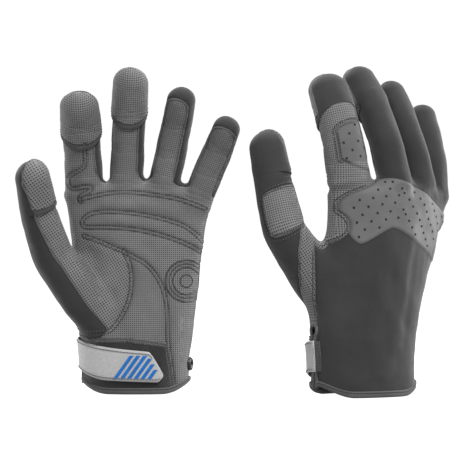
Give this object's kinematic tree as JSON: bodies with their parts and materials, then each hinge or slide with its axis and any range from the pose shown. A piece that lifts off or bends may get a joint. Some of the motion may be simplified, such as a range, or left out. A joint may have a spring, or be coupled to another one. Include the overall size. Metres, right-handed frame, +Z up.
{
  "type": "pair of sailing gloves",
  "caption": "Pair of padded full-finger sailing gloves standing on their cuffs, with woven palms, foam backs, fold-back fingertip hoods and a hook-and-loop wrist strap on each.",
  "frame": {"origin": "centre of the pair at the floor the cuffs stand on", "axes": "+X runs along the pair to the right, +Z up along the fingers, -Y to the front: the left glove shows its palm and the right glove its back"},
  "size_m": [0.3134, 0.0968, 0.2373],
  "materials": {
    "palm_weave": "woven synthetic leather, matt",
    "neoprene": "knit-faced foam rubber, matt",
    "perforated": "perforated synthetic leather",
    "binding": "woven edge tape",
    "loop_pile": "hook and loop pile",
    "strap": "smooth coated webbing",
    "print": "raised print",
    "snap": "moulded"
  },
  "bodies": {
    "left_hand": {"left_palm_panel": "palm_weave", "left_back_panel": "neoprene", "left_palm_bar": "palm_weave", "left_heel_patch": "palm_weave", "left_grip_badge": "binding", "left_knuckle_panel": "perforated", "left_web_patch": "palm_weave", "left_loop_patch": "loop_pile", "left_cuff_binding": "binding", "left_slit_binding": "binding", "left_snap": "snap", "left_thumb_base": "neoprene", "left_index_base": "palm_weave", "left_index_patch": "perforated", "left_middle_base": "neoprene", "left_ring_base": "neoprene", "left_little_base": "neoprene"},
    "left_thumb": {"left_thumb_tube": "neoprene", "left_thumb_patch": "palm_weave"},
    "left_index": {"left_index_tube": "palm_weave"},
    "left_middle": {"left_middle_tube": "neoprene"},
    "left_ring": {"left_ring_tube": "neoprene"},
    "left_little": {"left_little_tube": "neoprene"},
    "left_thumb_hood": {"left_thumb_cap": "palm_weave"},
    "left_index_hood": {"left_index_cap": "palm_weave"},
    "left_middle_hood": {"left_middle_cap": "palm_weave"},
    "left_strap": {"left_strap": "strap", "left_hook_patch": "loop_pile", "left_strap_stripes": "print"},
    "right_hand": {"right_palm_panel": "palm_weave", "right_back_panel": "neoprene", "right_palm_bar": "palm_weave", "right_heel_patch": "palm_weave", "right_grip_badge": "binding", "right_knuckle_panel": "perforated", "right_web_patch": "palm_weave", "right_loop_patch": "loop_pile", "right_cuff_binding": "binding", "right_slit_binding": "binding", "right_snap": "snap", "right_thumb_base": "neoprene", "right_index_base": "palm_weave", "right_index_patch": "perforated", "right_middle_base": "neoprene", "right_ring_base": "neoprene", "right_little_base": "neoprene"},
    "right_thumb": {"right_thumb_tube": "neoprene", "right_thumb_patch": "palm_weave"},
    "right_index": {"right_index_tube": "palm_weave"},
    "right_middle": {"right_middle_tube": "neoprene"},
    "right_ring": {"right_ring_tube": "neoprene"},
    "right_little": {"right_little_tube": "neoprene"},
    "right_thumb_hood": {"right_thumb_cap": "palm_weave"},
    "right_index_hood": {"right_index_cap": "palm_weave"},
    "right_middle_hood": {"right_middle_cap": "palm_weave"},
    "right_strap": {"right_strap": "strap", "right_hook_patch": "loop_pile", "right_strap_stripes": "print"}
  },
  "joints": [
    {"name": "pair_spacing", "type": "slide", "parent": "left_hand", "child": "right_hand", "axis": [1, 0, 0], "range_m": [0, 0.15]},
    {"name": "left_thumb_flex", "type": "hinge", "parent": "left_hand", "child": "left_thumb", "pos_m": [-0.13192, -0.00908, 0.09949], "axis": [0.2022, 0.8667, 0.456], "range_deg": [0, 40], "stiffness_Nm_per_rad": 0.02},
    {"name": "left_index_flex", "type": "hinge", "parent": "left_hand", "child": "left_index", "pos_m": [-0.11157, 0.01539, 0.1719], "axis": [0.999, 0, 0.0454], "range_deg": [0, 45], "stiffness_Nm_per_rad": 0.02},
    {"name": "left_middle_flex", "type": "hinge", "parent": "left_hand", "child": "left_middle", "pos_m": [-0.07926, 0.0191, 0.17789], "axis": [0.9983, 0, -0.0576], "range_deg": [0, 55], "stiffness_Nm_per_rad": 0.02},
    {"name": "left_ring_flex", "type": "hinge", "parent": "left_hand", "child": "left_ring", "pos_m": [-0.048, 0.0173, 0.17367], "axis": [0.9759, 0, -0.2181], "range_deg": [0, 55], "stiffness_Nm_per_rad": 0.02},
    {"name": "left_little_flex", "type": "hinge", "parent": "left_hand", "child": "left_little", "pos_m": [-0.02019, 0.01372, 0.16038], "axis": [0.9205, 0, -0.3907], "range_deg": [0, 55], "stiffness_Nm_per_rad": 0.02},
    {"name": "left_thumb_hood_fold", "type": "hinge", "parent": "left_thumb", "child": "left_thumb_hood", "pos_m": [-0.15535, -0.02245, 0.13529], "axis": [-0.2022, -0.8667, -0.456], "range_deg": [0, 150], "stiffness_Nm_per_rad": 0.004},
    {"name": "left_index_hood_fold", "type": "hinge", "parent": "left_index", "child": "left_index_hood", "pos_m": [-0.11298, 0.0174, 0.20297], "axis": [-0.999, 0, -0.0454], "range_deg": [0, 150], "stiffness_Nm_per_rad": 0.004},
    {"name": "left_middle_hood_fold", "type": "hinge", "parent": "left_middle", "child": "left_middle_hood", "pos_m": [-0.07702, 0.01923, 0.21682], "axis": [-0.9983, 0, 0.0576], "range_deg": [0, 150], "stiffness_Nm_per_rad": 0.004},
    {"name": "left_strap_peel", "type": "hinge", "parent": "left_hand", "child": "left_strap", "pos_m": [-0.11401, 0.02436, 0.02392], "axis": [0, 0, -1], "range_deg": [0, 110], "stiffness_Nm_per_rad": 0.002},
    {"name": "right_thumb_flex", "type": "hinge", "parent": "right_hand", "child": "right_thumb", "pos_m": [0.03331, -0.02328, 0.11641], "axis": [-0.6173, 0.7387, -0.2707], "range_deg": [0, 40], "stiffness_Nm_per_rad": 0.02},
    {"name": "right_index_flex", "type": "hinge", "parent": "right_hand", "child": "right_index", "pos_m": [0.07496, -0.019, 0.18072], "axis": [-0.8894, -0.4338, -0.1444], "range_deg": [0, 45], "stiffness_Nm_per_rad": 0.02},
    {"name": "right_middle_flex", "type": "hinge", "parent": "right_hand", "child": "right_middle", "pos_m": [0.10601, -0.00343, 0.18217], "axis": [-0.8798, -0.4291, -0.2045], "range_deg": [0, 55], "stiffness_Nm_per_rad": 0.02},
    {"name": "right_ring_flex", "type": "hinge", "parent": "right_hand", "child": "right_ring", "pos_m": [0.12618, 0.01385, 0.17736], "axis": [-0.8829, -0.4306, -0.1874], "range_deg": [0, 55], "stiffness_Nm_per_rad": 0.02},
    {"name": "right_little_flex", "type": "hinge", "parent": "right_hand", "child": "right_little", "pos_m": [0.14269, 0.03159, 0.16639], "axis": [-0.8974, -0.4377, -0.0558], "range_deg": [0, 55], "stiffness_Nm_per_rad": 0.02},
    {"name": "right_thumb_hood_fold", "type": "hinge", "parent": "right_thumb", "child": "right_thumb_hood", "pos_m": [0.01376, -0.02517, 0.15585], "axis": [0.6173, -0.7387, 0.2707], "range_deg": [0, 150], "stiffness_Nm_per_rad": 0.004},
    {"name": "right_index_hood_fold", "type": "hinge", "parent": "right_index", "child": "right_index_hood", "pos_m": [0.07421, -0.02713, 0.20971], "axis": [0.8894, 0.4338, 0.1444], "range_deg": [0, 150], "stiffness_Nm_per_rad": 0.004},
    {"name": "right_middle_hood_fold", "type": "hinge", "parent": "right_middle", "child": "right_middle_hood", "pos_m": [0.09783, -0.00507, 0.2208], "axis": [0.8798, 0.4291, 0.2045], "range_deg": [0, 150], "stiffness_Nm_per_rad": 0.004},
    {"name": "right_strap_peel", "type": "hinge", "parent": "right_hand", "child": "right_strap", "pos_m": [0.0549, -0.03322, 0.02392], "axis": [0, 0, 1], "range_deg": [0, 110], "stiffness_Nm_per_rad": 0.002}
  ]
}
